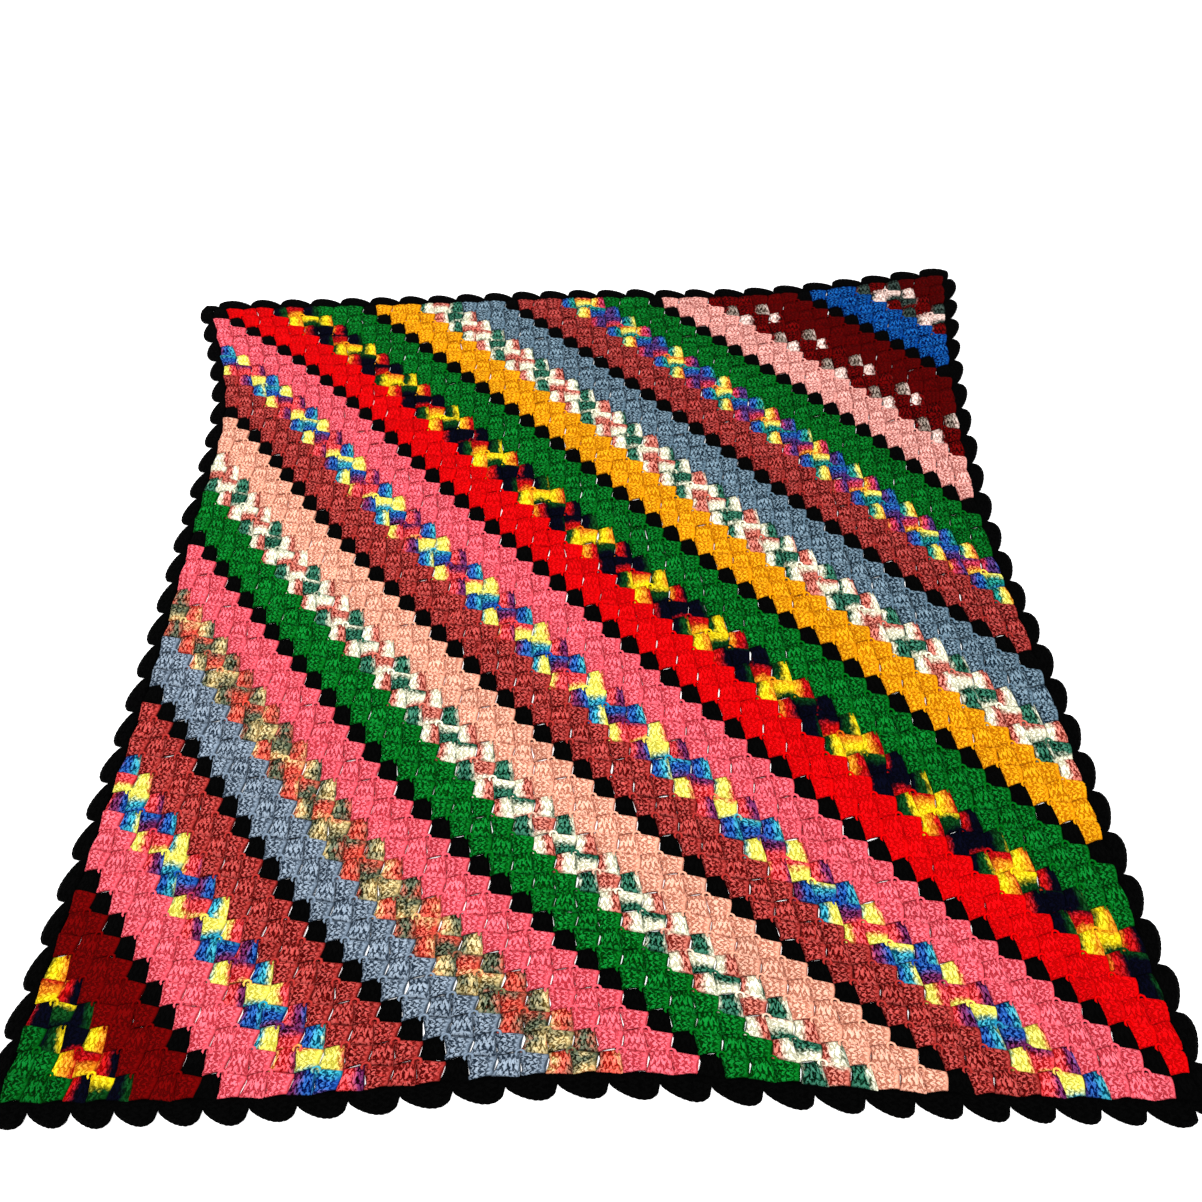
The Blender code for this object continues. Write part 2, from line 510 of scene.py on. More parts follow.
def edge_frame(place):
    """The point of the field's edge at a place along it, which counts blocks from the far left corner to
    the right, and the way out from there. The way out turns evenly through a right angle from half a shell
    before each corner to half a shell past it."""
    corners = np.array([(0, 1), (1, 1), (1, 0), (0, 0)]) * BLOCKS_A_SIDE
    runs = np.array([(1, 0), (0, -1), (-1, 0), (0, 1)])
    side = np.floor(place / BLOCKS_A_SIDE).astype(int) % 4
    point = corners[side] + runs[side] * (place % BLOCKS_A_SIDE)[:, None]
    nearest = np.round(place / BLOCKS_A_SIDE)
    past_corner = (place - nearest * BLOCKS_A_SIDE) / (SHELL_BLOCKS / 2)
    quarter_turns = nearest - 0.5 + np.clip(past_corner, -1, 1) / 2
    heading = np.pi / 2 * (1 - quarter_turns)
    return point, np.stack([np.cos(heading), np.sin(heading)], axis=1)


def rim_point(place, within, sizes):
    """x and y of the edging's rim at places along the field's edge and within their shells."""
    point, out = edge_frame(place)
    reach = sizes.shell_notch + (sizes.shell_reach - sizes.shell_notch) * shell_rise(within)
    return laid(*(point + out * (reach / sizes.block)[:, None]).T, sizes.block)


def cloth_centre(sizes):
    """The middle of the box around the edging's rim, taken at the stations that the solids have."""
    shells = 4 * BLOCKS_A_SIDE // SHELL_BLOCKS
    within = np.tile(SOLID_STATIONS, shells)
    place = (np.repeat(np.arange(shells), len(SOLID_STATIONS)) + within) * SHELL_BLOCKS - FIRST_NOTCH
    x, y = rim_point(place, within, sizes)
    return (x.min() + x.max()) / 2, (y.min() + y.max()) / 2


# Meshes from rings of points

@dataclass
class Roll:
    """Surfaces that are rings of points carried along a way: points by piece, ring and place round the
    ring, the yarn map across and along them, and values at the points. Open rolls have flat faces at their
    ends."""

    points: np.ndarray
    round_map: np.ndarray
    along_map: np.ndarray
    values: dict
    closed: bool = False


def roll_faces(roll):
    """The roll's faces as corner lists: for each face its corners' points, and their places on the two
    maps. The yarn map is given, and the bake map gives each piece its own square, with a strip at its top
    for the two ends."""
    pieces, rings, sides = roll.points.shape[:3]
    steps = rings if roll.closed else rings - 1
    ring, turn = np.meshgrid(np.arange(steps), np.arange(sides), indexing="ij")
    ring = np.stack([ring, ring, ring + 1, ring + 1], axis=-1).reshape(-1, 4)
    turn = np.stack([turn, turn + 1, turn + 1, turn], axis=-1).reshape(-1, 4)
    corner = (ring % rings) * sides + turn % sides
    yarn = np.stack([roll.round_map[turn], roll.along_map[ring]], axis=-1)
    square = np.stack([turn / sides, WALL_SHARE * ring / steps], axis=-1)
    number = np.arange(pieces)
    each = (pieces, 1, 1)
    quads = (number[:, None, None] * rings * sides + corner).reshape(-1, 4)
    found = [(quads, np.tile(yarn, each), np.tile(square, each), np.repeat(number, len(corner)))]
    if roll.closed:
        return found
    order = np.arange(sides)
    angle = 2 * np.pi * order / sides
    for way, end_ring, middle in ((-1, 0, END_MIDDLES[0]), (1, rings - 1, END_MIDDLES[1])):
        ends = (number[:, None] * rings + end_ring) * sides + order[::way]
        flat = np.stack([roll.round_map[order[::way]], np.full(sides, roll.along_map[end_ring])], axis=-1)
        dot_x = middle + END_WIDTH * np.cos(angle)
        dot_y = END_HEIGHT + END_DEPTH * np.sin(angle)
        dot = np.stack([dot_x, dot_y], axis=-1)
        found.append((ends, np.tile(flat, each), np.tile(dot, each), number))
    return found


def make_piece(name, rolls, material):
    """One object at the origin from rolls. Its points, faces, maps and values are set as whole arrays."""
    mesh = bpy.data.meshes.new(name)
    points, corners, totals, yarn, bake = [], [], [], [], []
    cells = sum(len(roll.points) for roll in rolls)
    cells_a_side = int(np.ceil(np.sqrt(cells)))
    cell_start = point_start = 0
    for roll in rolls:
        for faces, yarn_map, square, piece in roll_faces(roll):
            cell = cell_start + piece
            corner_of_cell = np.stack([cell % cells_a_side, cell // cells_a_side], axis=-1)
            corners.append((faces + point_start).ravel())
            totals.append(np.full(len(faces), faces.shape[1]))
            yarn.append(yarn_map.reshape(-1, 2))
            in_cells = corner_of_cell[:, None] + CELL_MARGIN + SQUARE_SHARE * square
            bake.append((in_cells / cells_a_side).reshape(-1, 2))
        points.append(roll.points.reshape(-1, 3))
        point_start += len(points[-1])
        cell_start += len(roll.points)
    points, corners, totals = np.vstack(points), np.concatenate(corners), np.concatenate(totals)
    mesh.vertices.add(len(points))
    mesh.vertices.foreach_set("co", points.astype(np.float32).ravel())
    mesh.loops.add(len(corners))
    mesh.loops.foreach_set("vertex_index", corners.astype(np.int32))
    mesh.polygons.add(len(totals))
    mesh.polygons.foreach_set("loop_start", (np.cumsum(totals) - totals).astype(np.int32))
    mesh.polygons.foreach_set("use_smooth", totals == 4)
    for map_name, maps in (("yarn", yarn), ("OFBake", bake)):
        mesh.uv_layers.new(name=map_name).data.foreach_set("uv", np.vstack(maps).astype(np.float32).ravel())
    mesh.uv_layers["yarn"].active_render = True
    for value in rolls[0].values:
        there = np.concatenate([roll.values[value].ravel() for roll in rolls])
        mesh.attributes.new(value, "FLOAT", "POINT").data.foreach_set("value", there.astype(np.float32))
    mesh.update(calc_edges=True)
    mesh.materials.append(material)
    piece = bpy.data.objects.new(name, mesh)
    bpy.context.scene.collection.objects.link(piece)
    return piece


# The blocks

def blocks_between(first, last):
    """Column and row of every block of the diagonal rows first to last, row by row from the left."""
    diagonal = np.arange(first, last + 1)
    left = np.maximum(0, diagonal - BLOCKS_A_SIDE + 1)
    right = np.minimum(BLOCKS_A_SIDE - 1, diagonal)
    column = np.concatenate([np.arange(low, high + 1) for low, high in zip(left, right)])
    return column, np.repeat(diagonal, right - left + 1) - column


def ring_round_block():
    """Places round a block's ring, from 0 to 1 across its posts over the face and then back under it, and
    which of them are on the face."""
    around = np.array(ACROSS_FACE + ACROSS_BACK)
    return around, np.arange(len(around)) < len(ACROSS_FACE)


def slits(sizes, seed):
    """How far in blocks the left side and the lower side of each block are drawn in by slits, by column and
    row. An open slit takes back the overlap and half its width, a random share of the widest. Most of the
    upright ones are open, the widest near the middle of the near edge, and of the narrower lying ones some
    there and beside black rows. The near left corner, both right corners and the field's edges have nearly
    none."""
    rng = np.random.default_rng(seed)
    sides = np.arange(BLOCKS_A_SIDE + 1)
    column, row = np.meshgrid(sides, sides, indexing="ij")
    from_right = BLOCKS_A_SIDE - column
    from_corner = np.minimum(row, BLOCKS_A_SIDE - row)
    by_black = (column + row) % BLACK_EVERY <= 1
    loose = np.exp(-(((column - LOOSE_COLUMN) / LOOSE_COLUMNS) ** 2) - (row / LOOSE_ROWS) ** 2)
    snug_left = np.exp(-(column**2 + row**2) / SNUG_NEAR_LEFT)
    snug_right = np.exp(-(from_right**2 + from_corner**2) / SNUG_RIGHT)
    snug = snug_left + snug_right
    usual = (SLIT_MEANS[0] + 0 * row, np.where(by_black, LYING_MEAN_BY_BLACK, SLIT_MEANS[1]))
    means = np.stack([
        mean + wider * loose - narrower * snug
        for mean, wider, narrower in zip(usual, WIDER_WHERE_LOOSE, NARROWER_WHERE_SNUG)
    ])
    widths = np.clip(rng.normal(means, SLIT_SPREAD), 0, 1)
    widths[0, [0, -1]] = 0
    widths[1][:, [0, -1]] = 0
    share_of_widest = widths * np.reshape((1.0, LYING_WIDTH), (2, 1, 1))
    return np.where(widths > LEAST_SLIT, sizes.overlap + share_of_widest * sizes.slit / 2, 0)


def drawn_in(along, sizes):
    """How far a side is drawn in to a slit along the way: wholly at its middle, with a slope at each end."""
    return np.clip((sizes.slit_length / 2 - np.abs(along - 0.5)) / sizes.slit_end, 0, 1)


def basket(column, row, sizes):
    """Places in the field, leaned as the blocks of the stitch are: the corners where lying blocks start move
    right and nearer, and those between them left and farther, as a product of two cosines."""
    lean = sizes.lean * np.cos(np.pi * column) * np.cos(np.pi * row)
    return column + lean, row - lean


def on_cloth(column, row, height, sizes):
    """Points of the laid cloth from their places in the field and their heights."""
    place_x, place_y = laid(*basket(column, row, sizes), sizes.block)
    centre_x, centre_y = cloth_centre(sizes)
    return np.stack([place_x - centre_x, place_y - centre_y, height + 0 * place_x], axis=-1)


def block_rolls(column, row, sizes, seed):
    """The blocks at these columns and rows as open rolls. An upright block's posts stand from its lower
    side, and a lying block's run from its left side. Across the posts the face and back are flat-topped
    pillows, and the face falls at both ends. In the plane each side bulges as half a sine wave and draws in
    to its slit, all but the last post's side reach over the next block, and each block is moved and turned.
    """
    rng = np.random.default_rng((seed, int(column[0]), int(row[0])))
    count = len(column)
    around, on_face = ring_round_block()
    across, along = np.broadcast_arrays(around[None, None, :], np.array(RINGS)[None, :, None])
    uneven = rng.normal(0, 1, (count, 5, 1, 1))
    upright = ((column + row) % 2 == 1)[:, None, None]
    whole = np.ones((count, len(RINGS), len(around)))
    from_chain = np.where(upright, 1 - across, across)
    smooth_end = SMOOTHEST * np.clip((along - SMOOTH_FROM) / SMOOTH_OVER, 0, 1)
    chain = np.clip(1 - from_chain * 4 * POSTS, 0, 1)
    smooth = np.maximum(np.where(upright, 0.0, smooth_end), chain)
    pillow = (1 - np.abs(2 * across - 1) ** FACE_POWER) ** 0.5
    end = 1 - sizes.end_fall * np.abs(2 * along - 1) ** END_POWER
    face_share = pillow * end
    top = sizes.thickness * (1 + UNEVEN_HEIGHT * uneven[:, 0])
    face = sizes.waist + (top - sizes.waist) * face_share
    back_share = (1 - np.abs(2 * across - 1) ** BACK_POWER) ** 0.5
    back = sizes.waist - (sizes.waist - sizes.clearance) * back_share
    height = np.where(on_face, face, back * whole)
    flat_x = np.where(upright, across, along) * whole
    flat_y = np.where(upright, along, 1 - across) * whole
    left_slits, low_slits = slits(sizes, seed)
    left, right = left_slits[column, row], left_slits[column + 1, row]
    low, high = low_slits[column, row], low_slits[column, row + 1]
    left, right, low, high = (side[:, None, None] for side in (left, right, low, high))
    by_x, by_y = drawn_in(flat_x, sizes), drawn_in(flat_y, sizes)
    over_x = sizes.overlap * np.where(upright, flat_x, 2 * flat_x - 1)
    over_y = sizes.overlap * np.where(upright, 2 * flat_y - 1, flat_y)
    x = flat_x + over_x + by_y * (left * (1 - flat_x) - right * flat_x)
    y = flat_y + over_y + by_x * (low * (1 - flat_y) - high * flat_y)
    x = x + sizes.bulge * np.sin(np.pi * flat_y) + UNEVEN_PLACE * uneven[:, 1]
    y = y + sizes.bulge * np.sin(np.pi * flat_x) + UNEVEN_PLACE * uneven[:, 2]
    turn = UNEVEN_TURN * uneven[:, 3]
    x, y = x - turn * (flat_y - 0.5), y + turn * (flat_x - 0.5)
    points = on_cloth(column[:, None, None] + x, row[:, None, None] + y, height, sizes)
    # rise is how high a point stands; the yarn's material paints shade into the seams where it is low
    values = {
        "rise": np.where(on_face, np.maximum(face_share, CHAIN_RISE * chain), back_share * whole),
        "tone": uneven[:, 4] * whole,
        "smooth": smooth * whole,
        "upright": upright * whole,
        "dye_place": dye_place(column, row, across) * whole,
    }
    return Roll(points, np.append(around, 0.0) * POSTS, np.array(RINGS) * POSTS, values)


def dye_place(column, row, across):
    """Where the yarn of these blocks is in its repeats: the blocks worked since the first dye was centred,
    over the blocks that a repeat takes. Upright rows are worked to the right and lying rows to the left."""
    place = np.zeros(np.broadcast_shapes((len(column), 1, 1), np.shape(across)))
    for chart_row, first, last, repeats in ROW_CHART:
        here = column + row == chart_row
        if repeats and here.any():
            way = 1 if chart_row % 2 else -1
            worked = column[here][:, None, None] + across - first
            place[here] = way * worked * repeats / (last - first)
    return place


def loop_rolls(column, row, sizes):
    """A loop of chain at the lower right corner of each of these blocks: a round yarn carried along most of
    a circle, which stands a little on the cloth and dives at its two ends."""
    angle = np.linspace(np.pi + PAST_HALF_TURN, -PAST_HALF_TURN, LOOP_RINGS)
    circle = np.stack([np.cos(angle), np.sin(angle)], axis=-1)
    turn = 2 * np.pi * np.arange(LOOP_SIDES) / LOOP_SIDES
    radius = sizes.loop / 2
    reach = sizes.loop_reach - np.cos(turn) * radius / sizes.block
    plan = LOOP_CENTRE + circle[:, None] * reach[None, :, None]
    dive = DIVE * np.clip(-np.sin(angle) - LEVEL_PART, 0, 1)
    height = (sizes.thickness - LOOP_SINK * radius - dive)[:, None] + radius * np.sin(turn)
    place = np.stack([column + 1, row], axis=-1)[:, None, None] + plan
    points = on_cloth(place[..., 0], place[..., 1], height, sizes)
    whole = np.ones(points.shape[:3])
    values = {
        "rise": whole,
        "tone": 0 * whole,
        "smooth": whole,
        "upright": 0 * whole,
        "dye_place": dye_place(column, row, np.ones((1, 1, 1))) * whole,
    }
    return Roll(points, np.arange(LOOP_SIDES + 1) / LOOP_SIDES, np.linspace(0, 2, LOOP_RINGS), values)


# The edging

def edging_roll(sizes, seed):
    """The shell edging as one closed roll: a flat ring from the field's edge over the face to the rim and
    back below, carried round the field. Over the face, the posts of each shell are ridges with the form of a
    power of a sine, which fan out from the middle of the shell's foot, and the rim swells at each post."""
    shells = 4 * BLOCKS_A_SIDE // SHELL_BLOCKS
    steps = SHELL_POSTS * STATIONS_A_POST
    within = np.tile(np.arange(steps) / steps, shells)
    place = (np.repeat(np.arange(shells), steps) + within) * SHELL_BLOCKS - FIRST_NOTCH
    point, out = edge_frame(place)
    uneven = np.repeat(np.random.default_rng(seed).normal(0, UNEVEN_REACH, shells), steps)
    rise = shell_rise(within)
    face = np.linspace(0, 1, FACE_STEPS + 1)
    under = np.linspace(1, 0, UNDER_STEPS + 1)[1:-1]
    out_share = np.concatenate((face, under))[None, :]
    on_face = np.arange(out_share.size) <= FACE_STEPS
    fanned = FAN_FOOT + (within[:, None] - FAN_FOOT) / (FOOT_SHARE + (1 - FOOT_SHARE) * out_share)
    post = np.abs(np.sin(np.pi * SHELL_POSTS * fanned)) ** POST_POWER
    swell = 1 + RIM_SWELL * (post - 0.5)
    reach = sizes.shell_notch + (sizes.shell_reach - sizes.shell_notch) * rise * (1 + uneven)
    distance = ((reach[:, None] * swell + TUCK) * out_share - TUCK) / sizes.block
    place_xy = point[:, None] + out[:, None] * distance[..., None]
    place_x, place_y = laid(place_xy[..., 0], place_xy[..., 1], sizes.block)
    centre_x, centre_y = cloth_centre(sizes)
    crown = (1 - np.abs(2 * out_share - 1) ** CROWN_POWER) ** 0.5
    top = NOTCH_HEIGHT + (sizes.shell_height - NOTCH_HEIGHT) * rise[:, None]
    ridged = crown * (1 - BETWEEN_POSTS * (1 - post))
    over = EDGING_WAIST + (top - EDGING_WAIST) * ridged
    below = EDGING_WAIST - (EDGING_WAIST - sizes.clearance) * crown
    height = np.where(on_face, over, below)
    points = np.stack([place_x - centre_x, place_y - centre_y, height], axis=-1)[None]
    whole = np.ones(points.shape[:3])
    # rise is how high a point stands; the yarn's material paints shade between posts and at the foot where
    # it is low
    values = {
        "rise": np.where(on_face, ridged, crown)[None] * whole,
        "tone": 0 * whole,
        "smooth": 0 * whole,
        "upright": whole,
        "dye_place": 0 * whole,
    }
    along_map = np.append(place, place[0] + 4 * BLOCKS_A_SIDE) * SHELL_POSTS / SHELL_BLOCKS
    return Roll(points, np.append(out_share[0], 0.0) * POSTS, along_map, values, closed=True)


# Shader effects that the yarns share

def new_group(name, inputs, outputs):
    """An empty node group with named value, vector and colour sockets, and its input and output nodes."""
    group = bpy.data.node_groups.new(name, "ShaderNodeTree")
    kinds = {"value": "NodeSocketFloat", "vector": "NodeSocketVector", "colour": "NodeSocketColor"}
    for way, sockets in (("INPUT", inputs), ("OUTPUT", outputs)):
        for socket_name, kind in sockets.items():
            group.interface.new_socket(socket_name, in_out=way, socket_type=kinds[kind])
    return group, group.nodes.new("NodeGroupInput"), group.nodes.new("NodeGroupOutput")


def fill_socket(tree, socket, source):
    """Links a socket to another node's output, or sets its value."""
    if isinstance(source, bpy.types.NodeSocket):
        tree.links.new(source, socket)
    else:
        socket.default_value = source


def calculate(tree, operation, *sources):
    """A Math node's result."""
    node = tree.nodes.new("ShaderNodeMath")
    node.operation = operation
    for socket, source in zip(node.inputs, sources):
        fill_socket(tree, socket, source)
    return node.outputs[0]


def wave(tree, operation, place, halves):
    """A sine or cosine that has that many half waves in each unit of its place."""
    return calculate(tree, operation, calculate(tree, "MULTIPLY", place, halves * np.pi))


def smooth_step(tree, value, low, high):
    """0 below the low value, 1 above the high one, and a smooth step between them."""
    node = tree.nodes.new("ShaderNodeMapRange")
    node.interpolation_type = "SMOOTHSTEP"
    for socket, source in (("Value", value), ("From Min", low), ("From Max", high)):
        fill_socket(tree, node.inputs[socket], source)
    return node.outputs["Result"]


def add_noise(tree, where, scale):
    """Noise at these places."""
    node = tree.nodes.new("ShaderNodeTexNoise")
    node.inputs["Scale"].default_value = scale
    tree.links.new(where, node.inputs["Vector"])
    return node.outputs["Fac"]


def colour_mix(tree, blend_type, factor, first, second):
    """The colour of a Mix node between two colours."""
    node = tree.nodes.new("ShaderNodeMix")
    node.data_type = "RGBA"
    node.blend_type = blend_type
    fill_socket(tree, node.inputs[0], factor)
    fill_socket(tree, node.inputs[6], first)
    fill_socket(tree, node.inputs[7], second)
    return node.outputs[2]


def make_stitch_group():
    """Relief of the yarn in a block, from the yarn map, in posts across and along: strands that zigzag from
    post to post, as the size of a sine whose phase folds over at each post's middle, with pits in the
    valleys between them and at the sides of posts, all shifted by noise, and fuzz. Furrows cross the strands
    aslant, where their plies twist. The strands of upright blocks run nearly along the posts. Where a block
    is smooth, fine ribs along its posts take the place of the strands."""
    group, given, result = new_group(
        "Stitch relief",
        {"Map": "vector", "Smooth": "value", "Upright": "value", "Shift": "value", "Fuzz": "value"},
        {"Height": "value", "Pits": "value", "Tops": "value"},
    )
    where = group.nodes.new("ShaderNodeTexCoord").outputs["Object"]
    upright, smooth = given.outputs["Upright"], given.outputs["Smooth"]
    shifts = []
    for scale in SHIFT_SCALES:
        off = calculate(group, "SUBTRACT", add_noise(group, where, scale), 0.5)
        shifts.append(calculate(group, "MULTIPLY", off, given.outputs["Shift"]))
    parts = group.nodes.new("ShaderNodeSeparateXYZ")
    group.links.new(given.outputs["Map"], parts.inputs[0])
    across = calculate(group, "ADD", parts.outputs["X"], shifts[0])
    along = calculate(group, "ADD", parts.outputs["Y"], shifts[1])

    # Strands, and the furrows between their plies
    fold = calculate(group, "PINGPONG", across, 0.5)
    strands = calculate(group, "MULTIPLY_ADD", upright, UPRIGHT_STRANDS - LYING_STRANDS, LYING_STRANDS)
    phase = calculate(group, "MULTIPLY_ADD", along, strands, calculate(group, "MULTIPLY", fold, ZIGZAG))
    phase = calculate(group, "MULTIPLY_ADD", shifts[2], PHASE_SHIFT, phase)
    strand = calculate(group, "ABSOLUTE", wave(group, "SINE", phase, 1.0))
    turned = calculate(group, "MULTIPLY", phase, PLY_ACROSS)
    twist = calculate(group, "MULTIPLY_ADD", along, PLY_ALONG, turned)
    ply = calculate(group, "ABSOLUTE", wave(group, "SINE", twist, 1.0))
    furrow = calculate(group, "POWER", calculate(group, "SUBTRACT", 1.0, ply), 2.0)

    # How deep it is: valleys, the sides of posts and furrows
    valley = calculate(group, "SUBTRACT", 1.0, strand)
    side = smooth_step(group, calculate(group, "ABSOLUTE", wave(group, "COSINE", across, 1.0)), *SIDE_STEP)
    side_depth = calculate(group, "MULTIPLY_ADD", strand, -SIDE_DEPTH / 2, SIDE_DEPTH)
    side = calculate(group, "MULTIPLY", side, side_depth)
    depth = calculate(group, "ADD", calculate(group, "MULTIPLY_ADD", shifts[2], DEPTH_SHIFT, valley), side)
    depth = calculate(group, "MULTIPLY_ADD", furrow, FURROW_DEPTH, depth)
    depth = calculate(group, "MULTIPLY_ADD", upright, -LESS_UPRIGHT, depth)

    # Pits, the tops that take a painted highlight, and height
    rough = calculate(group, "MULTIPLY_ADD", smooth, -LESS_SMOOTH, 1.0)
    pits = calculate(group, "MULTIPLY", smooth_step(group, depth, *PIT_STEP), rough)
    crest = smooth_step(group, calculate(group, "ADD", strand, shifts[0]), *CREST_STEP)
    bare = calculate(group, "SUBTRACT", 1.0, pits)
    tops = calculate(group, "MULTIPLY", calculate(group, "MULTIPLY", crest, bare), rough)
    raised = calculate(group, "MULTIPLY", strand, STRAND_HEIGHT)
    stitched = calculate(group, "MULTIPLY_ADD", pits, -PIT_FALL, raised)
    stitched = calculate(group, "MULTIPLY_ADD", furrow, -FURROW_DEPTH, stitched)
    rib = calculate(group, "ABSOLUTE", wave(group, "SINE", parts.outputs["X"], RIBS))
    ribbed = calculate(group, "MULTIPLY_ADD", rib, RIB_HEIGHT, RIB_BASE)
    mixed = group.nodes.new("ShaderNodeMix")
    for socket, source in zip(mixed.inputs[:1] + mixed.inputs[2:4], (smooth, stitched, ribbed)):
        group.links.new(source, socket)
    fuzz = add_noise(group, where, FUZZ_SCALE)
    height = calculate(group, "MULTIPLY_ADD", fuzz, given.outputs["Fuzz"], mixed.outputs[0])
    for name, source in (("Height", height), ("Pits", pits), ("Tops", tops)):
        group.links.new(source, result.inputs[name])
    return group


def make_painted_light_group():
    """The yarn's colour as it shows, with painted light: a painted highlight on the tops of stitches,
    painted shade in the seams between blocks and in the pits, and a little lighter or darker from block to
    block. The painted highlight and shade are powers of the colour under and over one. The darkest dyes have
    no painted highlight, and the palest have fainter painted shade."""
    group, given, result = new_group(
        "Yarn depth",
        {
            "Colour": "colour", "Rise": "value", "Pits": "value", "Tops": "value", "Tone": "value",
            "Paleness": "value", "Deepness": "value",
        },
        {"Colour": "colour"},
    )
    # Painted shade: in the seams where the rise is low and in the pits, fainter on the palest dyes
    low = calculate(group, "SUBTRACT", 1.0, smooth_step(group, given.outputs["Rise"], *RISE_STEP))
    brightness = group.nodes.new("ShaderNodeRGBToBW")
    group.links.new(given.outputs["Colour"], brightness.inputs["Color"])
    not_dark = smooth_step(group, brightness.outputs["Val"], *HIGHLIGHT_STEP)
    palest = smooth_step(group, brightness.outputs["Val"], *FAINT_STEP)
    seams = calculate(group, "MULTIPLY", low, SEAM_SHADE)
    seam_and_pit_shade = calculate(group, "MAXIMUM", seams, given.outputs["Pits"])
    seam_and_pit_shade = calculate(group, "MULTIPLY", seam_and_pit_shade, given.outputs["Deepness"])
    seam_and_pit_shade = calculate(group, "MULTIPLY", seam_and_pit_shade, calculate(group, "MULTIPLY_ADD", palest, -FAINTER, 1.0))
    powers = []
    for power in (HIGHLIGHT_POWER, SHADE_POWER):
        gamma = group.nodes.new("ShaderNodeGamma")
        gamma.inputs["Gamma"].default_value = power
        group.links.new(given.outputs["Colour"], gamma.inputs["Color"])
        powers.append(gamma.outputs["Color"])
    # Painted highlight on the tops of stitches, none on the darkest dyes; pale is the colour with it
    raised = calculate(group, "MULTIPLY", given.outputs["Tops"], given.outputs["Paleness"])
    raised = calculate(group, "MULTIPLY", raised, not_dark)
    pale = colour_mix(group, "MIX", raised, given.outputs["Colour"], powers[0])
    # The colour of the darkest painted shade, mixed in where the painted shade falls
    shade_colour = colour_mix(group, "MULTIPLY", 1.0, powers[1], (DARKEST_SHADE, DARKEST_SHADE, DARKEST_SHADE, 1.0))
    shown = colour_mix(group, "MIX", seam_and_pit_shade, pale, shade_colour)
    light = calculate(group, "MULTIPLY_ADD", given.outputs["Tone"], TONE_SPREAD, 1.0)
    toned = group.nodes.new("ShaderNodeVectorMath")
    toned.operation = "SCALE"
    group.links.new(shown, toned.inputs[0])
    group.links.new(light, toned.inputs["Scale"])
    group.links.new(toned.outputs[0], result.inputs["Colour"])
    return group


def shared_group(name, make):
    """The node group of that name, made at its first use."""
    return bpy.data.node_groups.get(name) or make()


def place_group(tree, group, **sources):
    """A group placed in a material's tree with its inputs linked or set."""
    node = tree.nodes.new("ShaderNodeGroup")
    node.node_tree = group
    for name, source in sources.items():
        fill_socket(tree, node.inputs[name.replace("_", " ").capitalize()], source)
    return node


def value_of(tree, name):
    """A value that is stored at a mesh's points."""
    node = tree.nodes.new("ShaderNodeAttribute")
    node.attribute_name = name
    return node.outputs["Fac"]


def yarn_material(name, colour_of, paleness=PAINTED_HIGHLIGHT, deepness=PAINTED_SHADE):
    """A yarn: colour_of gives its dye as a socket or a colour; shared groups add relief, painted highlight
    and shade.
    """
    material = bpy.data.materials.new(name)
    material.use_nodes = True
    tree = material.node_tree
    surface = tree.nodes["Principled BSDF"]
    where = tree.nodes.new("ShaderNodeUVMap")
    where.uv_map = "yarn"
    stitch = place_group(
        tree, shared_group("Stitch relief", make_stitch_group), map=where.outputs["UV"],
        smooth=value_of(tree, "smooth"), upright=value_of(tree, "upright"), shift=SHIFT, fuzz=FUZZ,
    )
    # Painted highlight on the tops, and painted shade in the seams and pits
    shown = place_group(
        tree, shared_group("Yarn depth", make_painted_light_group), colour=colour_of(tree),
        rise=value_of(tree, "rise"), pits=stitch.outputs["Pits"], tops=stitch.outputs["Tops"],
        tone=value_of(tree, "tone"), paleness=paleness, deepness=deepness,
    )
    bump = tree.nodes.new("ShaderNodeBump")
    bump.inputs["Strength"].default_value = BUMP_STRENGTH
    bump.inputs["Distance"].default_value = BUMP_DEPTH
    tree.links.new(stitch.outputs["Height"], bump.inputs["Height"])
    tree.links.new(shown.outputs["Colour"], surface.inputs["Base Color"])
    tree.links.new(bump.outputs["Normal"], surface.inputs["Normal"])
    surface.inputs["Roughness"].default_value = YARN_ROUGHNESS
    surface.inputs["Specular IOR Level"].default_value = YARN_SHINE
    return material


def plain_dye(colour, shade):
    """The colour of a plain yarn, lighter or darker by its shade."""
    return lambda tree: (*(min(1.0, value * shade) for value in colour), 1.0)


def variegated_dye(repeat, dyes):
    """The colour of a variegated yarn, by where its repeat is. The first dye is centred on the start."""
    def colour(tree):
        where = tree.nodes.new("ShaderNodeTexCoord")
        place = value_of(tree, "dye_place")
        for scale, wander in DYE_WANDER:
            noise = calculate(tree, "SUBTRACT", add_noise(tree, where.outputs["Object"], scale), 0.5)
            place = calculate(tree, "MULTIPLY_ADD", noise, wander, place)
        part = calculate(tree, "FRACT", place)
        ramp = tree.nodes.new("ShaderNodeValToRGB")
        tree.links.new(part, ramp.inputs["Fac"])
        shares = np.array([dye_share for _, dye_share in repeat])
        ends = np.cumsum(shares) - shares[0] / 2
        stops = [(0.0, repeat[0][0])]
        for (name, _), (next_name, _), end in zip(repeat, repeat[1:] + repeat[:1], ends):
            stops += [(end - DYE_BLUR, name), (end + DYE_BLUR, next_name)]
        stops.append((1.0, repeat[0][0]))
        elements = ramp.color_ramp.elements
        while len(elements) < len(stops):
            elements.new(0.5)
        for element, (position, _) in zip(elements, stops):
            element.position = position
        for element, (_, name) in zip(elements, stops):
            element.color = (*getattr(dyes, name), 1.0)
        return ramp.outputs["Color"]
    return colour


# The operators

def finish_piece(piece):
    """Joins a finished piece to the root body by parenting it to that body's empty."""
    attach(piece, BODY)


